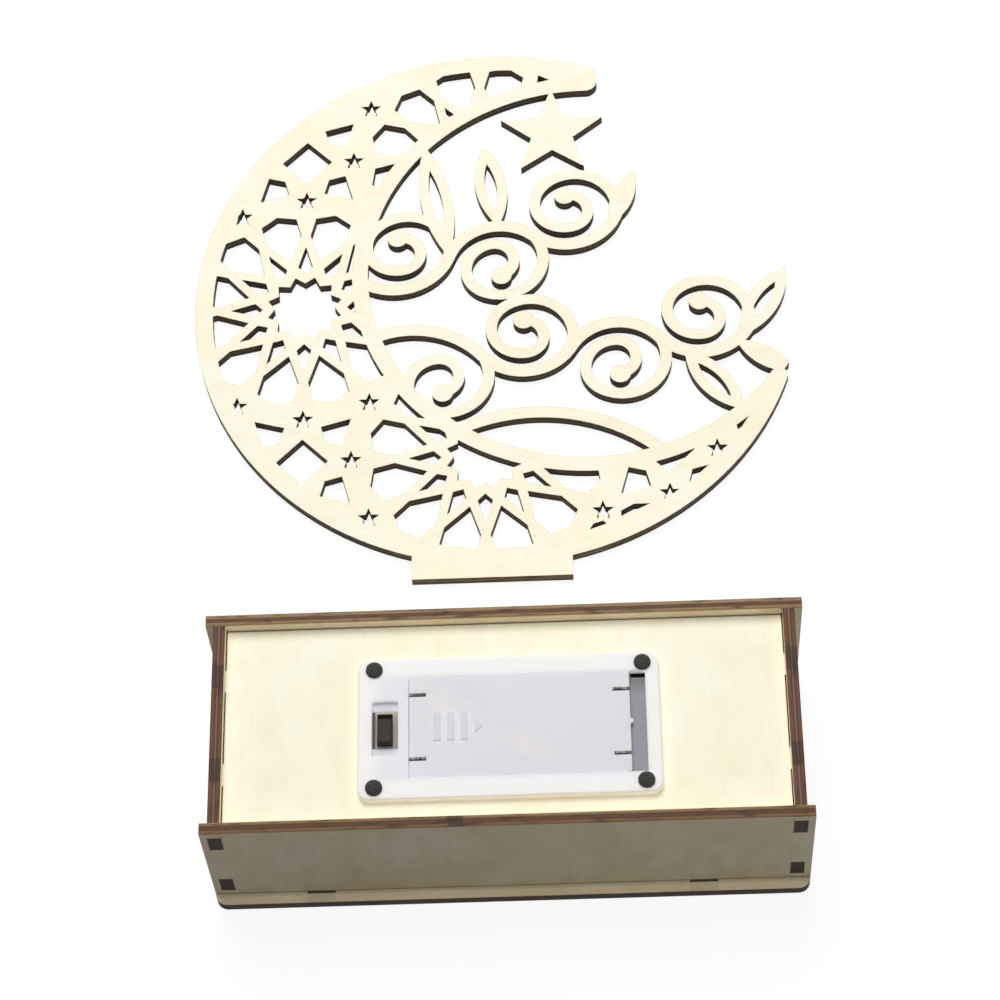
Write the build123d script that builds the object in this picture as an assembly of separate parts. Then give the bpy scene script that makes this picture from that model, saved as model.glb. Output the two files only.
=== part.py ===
from build123d import *
import math
import os

# Plywood, all pieces laser-cut from one sheet
sheet = 3.0
fit = 0.1
kerf = 0.3

# Base box, standing on its top plate as it is shown
base_width = 150.0
base_depth = 60.0
base_height = 40.0
end_inset = 2.0
plate_overhang = 3.0
plate_corner = 3.0
tenon_height = 6.5
tenon_spacing = 25.0
wall_tab_width = 7.0
wall_tab_spacing = 96.4
slot_slack = 0.5
panel_recess = 3.0
panel_tab_width = 6.0
panel_tab_spacing = 25.8

# Crescent sheet, round the middle of the moon's outer edge
ornament_radius = 84.5
band_width = 49.2
upper_tip_x = 30.0
upper_arm_width = 8.1
lower_tip_y = -26.0
lower_arm_width = 4.7
upper_tip_round = 3.4
lower_tip_round = 1.8
outer_rim = 5.0
inner_rim = 4.5
tab_width = 43.0
tab_reach = 3.7
tab_shift = -2.3
tab_clearance = 0.15
ornament_gap = 25.6
ornament_shift = -1.6

# Twelve-fold rosettes on a square lattice turned by 45 degrees, and small cells where the pattern ends
fold = 12
rosette_inset = 30.8
rosette_y = -0.9
lattice_half = 49.8
heart_tip = 10.6
heart_valley = 8.4
kite_near = 11.8
kite_wide = 13.9
kite_far = 20.8
kite_half_width = 2.05
petal_near = 16.2
petal_shoulder = 24.0
petal_corner = 30.0
petal_far = 32.2
petal_half_width = 5.1
small_star_tip = 3.1
small_star_valley = 1.3
diamond_half = 7.1
shield_near = 8.9
shield_wide = 11.3
shield_far = 18.7
shield_half_width = 4.2
least_hole = 2.4
end_cells = (
    ((32.5, -71.1), (40.4, -67.2), (36.0, -67.2), (32.5, -69.2)),
    ((23.9, -74.7), (28.5, -73.0), (27.6, -72.1), (25.0, -72.9)),
    ((12.7, 74.5), (16.3, 75.5), (13.1, 77.2)),
)

# Solid star under the upper tip
star_points = 5
star_tip = 15.3
star_valley = 6.3
star_x = 16.6
star_bite = 1.6

# Running scroll inside the moon, drawn for one opening and scaled to fit it: arcs, curls and leaves
scroll_radius = 61.5
stem_bite = 2.6
stem_width = 3.6
curl_width = 3.2
curl_turn_in = 10.0
curl_arcs = ((12.0, 150.0), (8.5, 150.0), (5.5, 170.0))
curl_ball = 2.9
wave_radius = 15.0
wave_turn = 110.0
lower_start_angle = 199.4
lower_heading = 25.0
lower_rise_radius = 26.0
lower_rise_turn = -75.0
lower_hands = (1, -1, 1)
upper_start_angle = 181.4
upper_heading = -40.0
upper_dip_radius = 16.0
upper_hands = (-1, 1)
arch_left_angle = 234.2
arch_right_angle = 288.0
arch_rise = 9.2

# Leaves of the scroll: the angle of each foot on its bend and its heading, then its length and width
leaf_rib = 2.9
leaf_open_share = 0.22
least_pierced_leaf = 7.0
broad_leaf = 9.0
slim_leaf = 6.2
lower_leaf_angles = ((316.0, 59.0), (252.0, -52.0), (310.0, -35.0))
lower_leaf_sizes = ((26.5, broad_leaf), (25.0, broad_leaf), (19.0, slim_leaf))
upper_leaf_angles = ((340.0, 100.0), (90.0, 98.0), (326.0, 68.0))
upper_leaf_sizes = ((39.0, broad_leaf), (28.0, broad_leaf), (19.0, slim_leaf))

# Battery case hung through the bottom panel, with a flange on it
case_x = 1.0
case_y = -2.5
flange_length = 75.0
flange_width = 38.4
flange_thickness = 2.0
flange_corner = 3.0
flange_edge = 0.6
case_wall = 1.3
case_clearance = 0.3
bay_left = -25.0
bay_length = 55.0
bay_width = 29.8
bay_depth = 16.0
rest_rib_length = 4.0
rest_rib_reach = 2.4
rest_rib_inset = 7.0
rest_rib_drop = 2.2

# Sliding battery door
door_left = -23.7
door_length = 54.7
door_y = -2.3
door_width = 27.3
door_thickness = 1.3
door_gap = 0.2
door_room = 4.0
pocket_depth = 1.4
latch_room = 1.5
door_slit_length = 4.2
door_slit_width = 1.0
door_slit_spacing = 17.5
door_lug_reach = 0.9
door_lug_width = 4.0
door_lug_thickness = 1.0
door_lug_stem = 1.4
nub_radius = 0.7
grip_bar_width = 1.8
grip_bar_length = 7.6
grip_pitch = 3.35
grip_bars = 3
grip_start = 6.9
grip_arrow_gap = 1.6
grip_arrow_length = 2.3
grip_arrow_width = 3.8
grip_height = 0.4

# Case screws and board screws
screw_spacing_x = 66.8
screw_spacing_y = 32.2
screw_head = 4.2
screw_head_height = 1.6
screw_shank = 2.2
screw_length = 7.0
screw_point = 1.2
head_rim_share = 0.35
drive_width = 0.7
drive_share = 0.6
drive_depth = 0.7
board_screw_head = 3.4
board_screw_head_height = 1.2
board_screw_shank = 1.6
board_screw_length = 3.8

# Slide switch in its well at the left of the flange
switch_x = -29.75
switch_y = -2.4
switch_length = 10.0
switch_width = 6.2
switch_height = 4.6
switch_metal = 0.4
switch_gap = 0.1
window_length = 15.2
window_width = 6.5
window_y = -2.4
window_depth = 1.2
knob_length = 6.6
knob_width = 3.6
knob_rise = 2.0
knob_foot_width = 5.0
knob_travel = 2.0
knob_round = 0.5
switch_base_thickness = 1.2
terminal_thickness = 0.5
terminal_width = 1.4
terminal_length = 3.6
terminal_pitch = 3.0

# Stamped battery contacts
contact_metal = 0.4
contact_width = 10.0
contact_height = 11.0
contact_foot = 1.2
contact_spring = 2.8
cell_pitch = 14.8
tail_width = 3.0
tail_rise = 4.0
tail_reach = 2.6

# Lamp board on the inner face of the top plate
board_length = 64.0
board_width = 12.0
board_thickness = 1.6
board_y = -11.0
lamp_count = 5
lamp_pitch = 8.0
lamp_size = 5.0
lamp_height = 1.6
lamp_hole = 7.6
board_screw_spacing = 46.0
pad_inset = 3.0
pad_spacing = 4.0

# Insulated leads
lead_diameter = 1.2
lead_sides = 8
lead_bend = 2.0
lead_loop = 5.6
lead_drop = 5.5

# Levels and faces that several pieces share
wall_height = base_height - sheet
wall_middle = sheet + wall_height / 2
end_face = base_width / 2 - end_inset
end_inner = end_face - sheet
long_inner = base_depth / 2 - sheet
panel_top = base_height - panel_recess
flange_top = panel_top + flange_thickness
bay_right = bay_left + bay_length
bay_floor = panel_top - bay_depth
door_right = door_left + door_length
pocket_right = door_right + door_room
pocket_bottom = flange_top - pocket_depth
switch_top = flange_top - window_depth
switch_bottom = switch_top - switch_height
terminal_tip = switch_bottom - terminal_length
tail_level = bay_floor + tail_rise
tail_end = bay_left - case_wall - tail_reach
board_top = sheet + board_thickness
pad_x = pad_inset - board_length / 2
lamp_places = [(i - (lamp_count - 1) / 2) * lamp_pitch for i in range(lamp_count)]
upper_outer_y = math.sqrt(ornament_radius**2 - upper_tip_x**2)
lower_outer_x = math.sqrt(ornament_radius**2 - lower_tip_y**2)
inner_edge = ThreePointArc(
    (upper_tip_x, upper_outer_y - upper_arm_width),
    (band_width - ornament_radius, 0),
    (lower_outer_x - lower_arm_width, lower_tip_y),
)
opening_radius = inner_edge.radius
opening_centre = inner_edge.arc_center
ornament_y = base_depth / 2 + plate_overhang + ornament_gap + ornament_radius + tab_reach
lattice_step = lattice_half * math.sqrt(2)
small_star_ring = lattice_step / 2 / math.cos(math.pi / fold)
case_screw_places = [
    (case_x + x * screw_spacing_x / 2, case_y + y * screw_spacing_y / 2)
    for x in (-1, 1)
    for y in (-1, 1)
]


def polar(radius, degrees, centre=Vector(0, 0)):
    """Point at a radius and an angle from a centre."""
    return centre + Vector(radius, 0).rotate(Axis.Z, degrees)


def pair(spacing):
    """The two places that lie symmetrically a spacing apart."""
    return (-spacing / 2, spacing / 2)


def span(x_low, x_high, y_low, y_high):
    """Rectangle between two corners."""
    width, height = x_high - x_low, y_high - y_low
    return Pos(x_low + width / 2, y_low + height / 2) * Rectangle(width, height)


def prism(profile, low, high):
    """Upright solid on a plan profile between two levels."""
    return extrude(Pos(0, 0, low) * profile, high - low)


def star(points, tip, valley, first_tip):
    """Regular star outline with a tip at the angle given."""
    step = 180 / points
    corners = [polar((tip, valley)[i % 2], first_tip + i * step) for i in range(2 * points)]
    return Polygon(*corners, align=None)


def kite(near, wide, far, half_width):
    """Four-cornered cell along the x axis."""
    return Polygon((near, 0), (wide, -half_width), (far, 0), (wide, half_width), align=None)


def petal():
    """Six-cornered cell along the x axis."""
    lower = [(petal_near, 0), (petal_shoulder, -petal_half_width), (petal_corner, -petal_half_width)]
    upper = [(petal_far, 0), (petal_corner, petal_half_width), (petal_shoulder, petal_half_width)]
    return Polygon(*lower, *upper, align=None)


def lattice_cells():
    """Every cell of the pierced pattern that can reach the moon."""
    heart = star(fold, heart_tip, heart_valley, 180 / fold)
    small = star(star_points, small_star_tip, small_star_valley, 90)
    thin = kite(kite_near, kite_wide, kite_far, kite_half_width)
    shield = kite(shield_near, shield_wide, shield_far, shield_half_width)
    diamond = Rot(0, 0, 45) * Rectangle(diamond_half * math.sqrt(2), diamond_half * math.sqrt(2))
    turn = 360 / fold
    first = Vector(rosette_inset - ornament_radius, rosette_y)
    cells = [Polygon(*corners, align=None) for corners in end_cells]
    reach = math.ceil(2 * ornament_radius / lattice_half)
    for i in range(-reach, reach + 1):
        for j in range(-reach, reach + 1):
            centre = first + Vector(i + j, j - i) * lattice_half
            if centre.length > ornament_radius + lattice_step:
                continue
            here = Pos(centre)
            cells.append(here * heart)
            for k in range(fold):
                cells.append(here * Rot(0, 0, k * turn) * thin)
                cells.append(here * Rot(0, 0, (k + 0.5) * turn) * petal())
            for angle in (0, 90, 180, 270, turn, 2 * turn, -turn, -2 * turn):
                cells.append(Pos(polar(small_star_ring, angle, centre)) * small)
            between = here * Pos(lattice_half, 0)
            cells.append(between * diamond)
            for angle in (45, 135, 225, 315):
                cells.append(between * Rot(0, 0, angle) * shield)
    return cells


def ribbon(start, heading, arcs, width):
    """Band of one width along arcs that meet in tangent, each a radius and a turn in degrees."""
    band = Sketch()
    point = start
    for radius, turn in arcs:
        side = math.copysign(90, turn)
        centre = polar(radius, heading + side, point)
        outer = CenterArc(centre, radius + width / 2, heading - side, turn)
        inner = CenterArc(centre, radius - width / 2, heading - side, turn)
        band += make_face([outer, Line(outer @ 1, inner @ 1), inner, Line(inner @ 0, outer @ 0)])
        heading += turn
        point = polar(radius, heading - side, centre)
    return band, point, heading, centre


def curl(start, heading, hand):
    """Spiral that leaves a stem and ends in a ball."""
    arcs = [(radius, hand * turn) for radius, turn in curl_arcs]
    band, end, _, _ = ribbon(start, heading + hand * curl_turn_in, arcs, curl_width)
    return band + Pos(end) * Circle(curl_ball)


def leaf(bend, foot_angle, heading, length, width):
    """Almond leaf with its foot on a bend of the stem, pierced where it is wide enough."""
    def almond(start, size, breadth):
        tip = polar(size, heading, start)
        return make_face([SagittaArc(start, tip, breadth / 2), SagittaArc(tip, start, breadth / 2)])

    radius, middle = bend
    foot = polar(radius, foot_angle, middle)
    outline = almond(foot, length, width)
    if width > least_pierced_leaf:
        inside = polar(leaf_open_share * length, heading, foot)
        outline -= almond(inside, (1 - 2 * leaf_open_share) * length, width - 2 * leaf_rib)
    return outline


def running_stem(start_angle, heading, first_arc, hands):
    """Wavy stem from the moon's inner rim with a curl at every bend, and each bend's radius and middle."""
    point = polar(scroll_radius + stem_bite, start_angle)
    pieces = []
    bends = []
    for radius, turn in [first_arc] + [(wave_radius, hand * wave_turn) for hand in hands]:
        band, point, heading, middle = ribbon(point, heading, [(radius, turn)], stem_width)
        pieces += [band, curl(point, heading, math.copysign(1, turn))]
        bends.append((radius, middle))
    return pieces, bends


def scroll():
    """Two running stems with curls and leaves, and an arch, all rooted in the moon's inner rim."""
    rise = (lower_rise_radius, lower_rise_turn)
    lower, bends = running_stem(lower_start_angle, lower_heading, rise, lower_hands)
    for angles, size in zip(lower_leaf_angles, lower_leaf_sizes):
        lower.append(leaf(bends[-1], *angles, *size))

    dip = (upper_dip_radius, wave_turn)
    upper, bends = running_stem(upper_start_angle, upper_heading, dip, upper_hands)
    for bend, angles, size in zip(bends, upper_leaf_angles, upper_leaf_sizes):
        upper.append(leaf(bend, *angles, *size))

    root = scroll_radius + stem_bite
    left = polar(root, arch_left_angle)
    chord = polar(root, arch_right_angle) - left
    half = chord.length / 2
    radius = (half**2 + arch_rise**2) / (2 * arch_rise)
    turn = 2 * math.degrees(math.asin(half / radius))
    along = math.degrees(math.atan2(chord.Y, chord.X))
    arch, _, _, _ = ribbon(left, along + turn / 2, [(radius, -turn)], stem_width)
    grown = (Sketch() + (lower + upper + [arch])) & Circle(root)
    return Pos(opening_centre) * scale(grown, by=opening_radius / scroll_radius)


def moon():
    """Crescent with its lattice cut through, between the plain outer and inner rims."""
    opening = Pos(opening_centre) * Circle(opening_radius)
    far = 2 * ornament_radius
    crescent = Circle(ornament_radius) - opening - span(upper_tip_x, far, lower_tip_y, far)
    upper_corners = crescent.vertices().sort_by(Axis.Y)[-2:]
    crescent = fillet(upper_corners, upper_tip_round)
    lower_corners = crescent.vertices().sort_by(Axis.X)[-2:]
    crescent = fillet(lower_corners, lower_tip_round)
    field = Circle(ornament_radius - outer_rim) - Pos(opening_centre) * Circle(opening_radius + inner_rim)
    holes = []
    for cell in lattice_cells():
        clipped = cell & field
        if clipped:
            holes += [hole for hole in clipped.faces() if hole.area > least_hole]
    return crescent - holes


def crescent_panel():
    """One sheet: pierced moon, star, scroll and the tab that plugs into the base, lying behind the base."""
    star_top = opening_centre.Y + math.sqrt(opening_radius**2 - (star_x - opening_centre.X) ** 2)
    hung_star = star(star_points, star_tip, star_valley, 90)
    hung_star = Pos(star_x, star_top + star_bite - star_tip) * hung_star
    tab_bottom = -ornament_radius - tab_reach
    tab = span(tab_shift - tab_width / 2, tab_shift + tab_width / 2, tab_bottom, outer_rim - ornament_radius)
    outline = moon() + tab + hung_star + scroll()
    return prism(Pos(ornament_shift, ornament_y) * outline, 0, sheet)


def top_plate():
    """Plate with slots for the wall tabs, the ornament's slot, lamp holes and board screw holes."""
    outline = RectangleRounded(base_width, base_depth + 2 * plate_overhang, plate_corner)
    for y in pair(base_depth - sheet):
        for x in pair(wall_tab_spacing):
            outline -= Pos(x, y) * Rectangle(wall_tab_width + 2 * fit, sheet + 2 * slot_slack)
    for x in pair(2 * end_face - sheet):
        outline -= Pos(x, 0) * Rectangle(sheet + 2 * slot_slack, wall_tab_width + 2 * fit)
    outline -= Rectangle(tab_width + 2 * tab_clearance, sheet + 2 * tab_clearance)
    for x in lamp_places:
        outline -= Pos(x, board_y) * Circle(lamp_hole / 2)
    for x in pair(board_screw_spacing):
        outline -= Pos(x, board_y) * Circle(board_screw_shank / 2 + fit)
    return prism(outline, 0, sheet)


def long_wall(outer_face):
    """Front or back wall with two tabs for the plate and four mortises for the end walls."""
    profile = Pos(0, wall_middle) * Rectangle(base_width, wall_height)
    for x in pair(wall_tab_spacing):
        profile += Pos(x, sheet / 2) * Rectangle(wall_tab_width, sheet)
    for x in pair(2 * end_face - sheet):
        for z in pair(tenon_spacing):
            mortise = Rectangle(sheet + 2 * fit, tenon_height + 2 * fit)
            profile -= Pos(x, wall_middle + z) * mortise
    face = Plane(origin=(0, outer_face, 0), x_dir=(1, 0, 0), z_dir=(0, -1, 0))
    return extrude(face * profile, math.copysign(sheet, outer_face))


def end_wall(outer_face):
    """End wall with tenons through the long walls, a tab for the plate and mortises for the panel."""
    profile = Pos(0, wall_middle) * Rectangle(2 * long_inner, wall_height)
    profile += Pos(0, sheet / 2) * Rectangle(wall_tab_width, sheet)
    for z in pair(tenon_spacing):
        profile += Pos(0, wall_middle + z) * Rectangle(base_depth, tenon_height)
    for y in pair(panel_tab_spacing):
        mortise = Rectangle(panel_tab_width + 2 * fit, sheet + 2 * fit)
        profile -= Pos(y, panel_top - sheet / 2) * mortise
    face = Plane(origin=(outer_face, 0, 0), x_dir=(0, 1, 0), z_dir=(1, 0, 0))
    return extrude(face * profile, -math.copysign(sheet, outer_face))


def bay_span(grow):
    """Plan of the cell bay, grown on all sides."""
    half = bay_width / 2 + grow
    return span(bay_left - grow, bay_right + grow, door_y - half, door_y + half)


def latch_span(grow):
    """Plan of the latch finger's hole at the back end of the door's pocket, grown on all sides."""
    back = door_y + door_width / 2 + door_gap
    return span(bay_right + case_wall - grow, pocket_right + grow, back - latch_room - grow, back + grow)


def switch_span(grow):
    """Plan of the slide switch, grown on all sides."""
    return Pos(switch_x, switch_y) * Rectangle(switch_width + 2 * grow, switch_length + 2 * grow)


def bottom_panel():
    """Recessed panel with tabs through the end walls and the cut-out that the battery case hangs in."""
    outline = Rectangle(2 * (end_inner - kerf), 2 * (long_inner - kerf))
    for y in pair(panel_tab_spacing):
        outline += Pos(0, y) * Rectangle(2 * end_face, panel_tab_width)
    outline -= bay_span(case_wall + case_clearance)
    outline -= switch_span(switch_gap + case_wall + case_clearance)
    outline -= latch_span(case_clearance)
    for place in case_screw_places:
        outline -= Pos(place) * Circle(screw_shank / 2 + fit)
    return prism(outline, panel_top - sheet, panel_top)


def battery_case():
    """Moulded tray under a screwed flange, with the door's opening and pocket and the switch's well."""
    outline = RectangleRounded(flange_length, flange_width, flange_corner)
    flange = prism(Pos(case_x, case_y) * outline, panel_top, flange_top)
    flange = fillet(flange.faces().sort_by(Axis.Z)[-1].edges(), flange_edge)
    case = flange + prism(bay_span(case_wall), bay_floor - case_wall, panel_top)
    case += prism(switch_span(switch_gap + case_wall), switch_bottom, panel_top)
    case -= prism(bay_span(0), bay_floor, panel_top)
    half = door_width / 2 + door_gap
    case -= prism(span(door_left - door_gap, bay_right, door_y - half, door_y + half), panel_top, flange_top)
    case -= prism(span(bay_right, pocket_right, door_y - half, door_y + half), pocket_bottom, flange_top)
    case -= prism(latch_span(0), panel_top, pocket_bottom)
    window = Pos(switch_x, window_y) * Rectangle(window_width, window_length)
    case -= prism(window, switch_top, flange_top)
    case -= prism(switch_span(switch_gap), switch_bottom, switch_top)
    for place in case_screw_places:
        case -= prism(Pos(place) * Circle(screw_shank / 2 + fit), panel_top, flange_top)
    rib_left = door_left + rest_rib_inset
    for side in (-1, 1):
        wall = door_y + side * bay_width / 2
        rib = span(rib_left, rib_left + rest_rib_length, *sorted((wall, wall - side * rest_rib_reach)))
        case += prism(rib, pocket_bottom - rest_rib_drop, pocket_bottom)
        slot = Pos(bay_left - case_wall / 2, door_y + side * cell_pitch / 2)
        slot *= Rectangle(case_wall, tail_width + 2 * fit)
        case -= prism(slot, tail_level - contact_metal / 2 - fit, tail_level + contact_metal / 2 + fit)
    return case


def battery_door():
    """Sliding door with slit spring tongues, a latch nub, hook lugs at its left end and finger grips."""
    half = door_width / 2
    outline = span(door_left, door_right, door_y - half, door_y + half)
    slit = Rectangle(door_slit_length, door_slit_width)
    for y in pair(door_slit_spacing):
        for x in (door_left + door_slit_length / 2, door_right - door_slit_length / 2):
            outline -= Pos(x, door_y + y) * slit
    outline += Pos(door_right, door_y) * Circle(nub_radius)
    door_bottom = flange_top - door_thickness
    door = prism(outline, door_bottom, flange_top)
    lug_top = panel_top - door_gap
    stem_right = door_left + door_lug_stem
    for y in pair(door_width - door_lug_width):
        near, far = [door_y + y + edge for edge in pair(door_lug_width)]
        lug = span(door_left - door_lug_reach, stem_right, near, far)
        stem = span(door_left, stem_right, near, far)
        door += prism(lug, lug_top - door_lug_thickness, lug_top)
        door += prism(stem, lug_top, door_bottom)
    grips = [Pos(i * grip_pitch, 0) * Rectangle(grip_bar_width, grip_bar_length) for i in range(grip_bars)]
    arrow_left = (grip_bars - 1) * grip_pitch + grip_bar_width / 2 + grip_arrow_gap
    low, high = pair(grip_arrow_width)
    arrow = Polygon((0, low), (grip_arrow_length, 0), (0, high), align=None)
    grips.append(Pos(arrow_left, 0) * arrow)
    for grip in grips:
        place = Pos(door_left + grip_start, door_y)
        door += prism(place * grip, flange_top, flange_top + grip_height)
    return door


def screw(head, head_height, shank, length):
    """Domed screw with a cross drive, its seat at the origin and its point below."""
    edge = head / 2
    rim = head_rim_share * head_height
    dome = TangentArc((0, head_height), (edge, rim), tangent=(1, 0))
    shaft = [(shank / 2, 0), (shank / 2, screw_point - length), (0, -length)]
    side = Polyline((edge, rim), (edge, 0), *shaft)
    profile = make_face([dome, side, Line((0, -length), (0, head_height))])
    body = revolve(Plane.XZ * profile, Axis.Z)
    for turn in (0, 90):
        drive = Rot(0, 0, turn) * Rectangle(drive_width, head * drive_share)
        body -= prism(drive, head_height - drive_depth, head_height)
    return body


def case_screws():
    """Four screws through the flange into the bottom panel."""
    made = screw(screw_head, screw_head_height, screw_shank, screw_length)
    return Compound([Pos(*place, flange_top) * made for place in case_screw_places])


def switch_shell():
    """Bent metal can, open below, with the knob's slot in its top."""
    can = prism(switch_span(0), switch_bottom, switch_top)
    can -= prism(switch_span(-switch_metal), switch_bottom, switch_top - switch_metal)
    slot = Rectangle(knob_width + 2 * switch_gap, knob_length + knob_travel + 2 * switch_gap)
    return can - prism(Pos(switch_x, switch_y) * slot, switch_top - switch_metal, switch_top)


def switch_base():
    """Insulating base that closes the can."""
    return prism(switch_span(-switch_metal - fit), switch_bottom, switch_bottom + switch_base_thickness)


def switch_terminals():
    """Three flat pins under the base."""
    pin = Rectangle(terminal_width, terminal_thickness)
    pins = [Pos(switch_x, switch_y + i * terminal_pitch) * pin for i in (-1, 0, 1)]
    return Compound([prism(place, terminal_tip, switch_bottom) for place in pins])


def switch_knob():
    """Slider with a wide foot under the can's top and a finger knob above it."""
    rest = Pos(switch_x, switch_y - knob_travel / 2)
    foot_bottom = switch_bottom + switch_base_thickness + switch_gap
    foot_top = switch_top - switch_metal - switch_gap
    foot = prism(rest * Rectangle(knob_foot_width, knob_length), foot_bottom, foot_top)
    knob = prism(rest * Rectangle(knob_width, knob_length), foot_top, switch_top + knob_rise)
    knob = fillet(knob.faces().sort_by(Axis.Z)[-1].edges(), knob_round)
    return foot + knob


def contact_spring_strip(wall, inward, width, y):
    """Stamped strip up an end wall, folded over into a leaf that presses on the cell."""
    middle = contact_metal / 2
    low = bay_floor + contact_foot
    high = low + contact_height
    bend = wall + inward * contact_spring
    path = Polyline(
        (wall + inward * middle, low),
        (wall + inward * middle, high),
        (bend, (low + high) / 2),
        (wall + inward * contact_foot, low + contact_foot),
    )
    strip = trace(path, contact_metal)
    face = Plane(origin=(0, y + width / 2, 0), x_dir=(1, 0, 0), z_dir=(0, -1, 0))
    return extrude(face * strip, width)


def bridge_contact():
    """Joins the two cells at the right end, with a leaf for each."""
    back = span(bay_right - contact_metal, bay_right, door_y - cell_pitch / 2, door_y + cell_pitch / 2)
    low = bay_floor + contact_foot
    plate = prism(back, low, low + contact_height)
    leaves = [contact_spring_strip(bay_right, -1, contact_width, door_y + y) for y in pair(cell_pitch)]
    return plate + leaves


def end_contact(side):
    """Contact for one cell at the left end, with a solder tail through the case wall."""
    y = door_y + side * cell_pitch / 2
    strip = contact_spring_strip(bay_left, 1, contact_width, y)
    tail = span(tail_end, bay_left, y - tail_width / 2, y + tail_width / 2)
    return strip + prism(tail, tail_level - contact_metal / 2, tail_level + contact_metal / 2)


def led_board():
    """Lamp board against the inner face of the top plate."""
    outline = Pos(0, board_y) * Rectangle(board_length, board_width)
    for x in pair(board_screw_spacing):
        outline -= Pos(x, board_y) * Circle(board_screw_shank / 2 + fit)
    return prism(outline, sheet, board_top)


def leds():
    """Lamps on the board, down in the holes of the top plate."""
    lamp = Rectangle(lamp_size, lamp_size)
    return Compound([prism(Pos(x, board_y) * lamp, sheet - lamp_height, sheet) for x in lamp_places])


def board_screws():
    """Two screws that hold the lamp board."""
    made = screw(board_screw_head, board_screw_head_height, board_screw_shank, board_screw_length)
    return Compound([Pos(x, board_y, board_top) * made for x in pair(board_screw_spacing)])


def lead(points):
    """Insulated wire along a route with rounded bends, its round section drawn with few sides."""
    path = FilletPolyline(*points, radius=lead_bend)
    section = RegularPolygon(lead_diameter / 2, lead_sides)
    return sweep(Plane(origin=path @ 0, z_dir=path % 0) * section, path=path)


def jumper_lead():
    """From the positive contact round to the switch."""
    start = Vector(tail_end, door_y + cell_pitch / 2, tail_level)
    pin = Vector(switch_x, switch_y + terminal_pitch, terminal_tip)
    out = Vector(tail_end - lead_loop, start.Y, tail_level)
    across = Vector(out.X, pin.Y, terminal_tip - lead_drop)
    return lead([start, out, across, Vector(pin.X, pin.Y, across.Z), pin])


def red_lead():
    """From the switch down to the lamp board."""
    pin = Vector(switch_x, switch_y - terminal_pitch, terminal_tip)
    pad = Vector(pad_x, board_y + pad_spacing / 2, board_top)
    lift = Vector(0, 0, lead_drop)
    return lead([pin, pin - 2 * lift, pad + lift, pad])


def black_lead():
    """From the negative contact down to the lamp board."""
    start = Vector(tail_end, door_y - cell_pitch / 2, tail_level)
    pad = Vector(pad_x, board_y - pad_spacing / 2, board_top)
    lift = Vector(0, 0, lead_drop)
    out = Vector(tail_end - lead_loop, start.Y, tail_level)
    return lead([start, out, Vector(out.X, pad.Y, pad.Z + 2 * lead_drop), pad + lift, pad])


parts = {
    "crescent_panel": crescent_panel(),
    "top_plate": top_plate(),
    "front_wall": long_wall(-base_depth / 2),
    "back_wall": long_wall(base_depth / 2),
    "left_end_wall": end_wall(-end_face),
    "right_end_wall": end_wall(end_face),
    "bottom_panel": bottom_panel(),
    "battery_case": battery_case(),
    "battery_door": battery_door(),
    "case_screws": case_screws(),
    "switch_shell": switch_shell(),
    "switch_base": switch_base(),
    "switch_terminals": switch_terminals(),
    "switch_knob": switch_knob(),
    "bridge_contact": bridge_contact(),
    "positive_contact": end_contact(1),
    "negative_contact": end_contact(-1),
    "led_board": led_board(),
    "leds": leds(),
    "board_screws": board_screws(),
    "jumper_lead": jumper_lead(),
    "red_lead": red_lead(),
    "black_lead": black_lead(),
}

os.makedirs("parts", exist_ok=True)
for name, part in parts.items():
    export_step(part, f"parts/{name}.step")
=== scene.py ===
import math

import bmesh
import bpy
from mathutils import Matrix, Vector


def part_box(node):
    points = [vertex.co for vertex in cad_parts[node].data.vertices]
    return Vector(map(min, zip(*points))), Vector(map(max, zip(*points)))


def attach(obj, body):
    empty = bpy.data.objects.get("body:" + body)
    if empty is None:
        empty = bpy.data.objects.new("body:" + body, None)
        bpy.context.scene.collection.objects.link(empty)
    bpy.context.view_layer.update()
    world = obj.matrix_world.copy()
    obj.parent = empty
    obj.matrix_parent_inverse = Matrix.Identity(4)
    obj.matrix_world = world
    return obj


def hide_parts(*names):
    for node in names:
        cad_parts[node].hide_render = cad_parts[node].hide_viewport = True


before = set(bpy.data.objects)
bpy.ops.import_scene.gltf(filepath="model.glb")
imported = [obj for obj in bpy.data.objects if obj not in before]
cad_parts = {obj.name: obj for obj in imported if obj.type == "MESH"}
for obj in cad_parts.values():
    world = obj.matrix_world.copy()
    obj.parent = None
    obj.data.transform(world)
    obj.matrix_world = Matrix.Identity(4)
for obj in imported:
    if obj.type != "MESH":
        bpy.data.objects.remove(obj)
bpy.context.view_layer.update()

# Top plate of the base. The box stands on it here, upside down, so it lies on the table.
# It is cut from 3 mm birch plywood by laser, which leaves every edge brown and a scorched line beside it.
# Its slots take the tabs of the four walls, which are glued in.

mm = 0.001
sheet_thickness = 3.0
scorch_width = 0.45 * mm
weld = 0.001 * mm
flat_enough = 0.9


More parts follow.
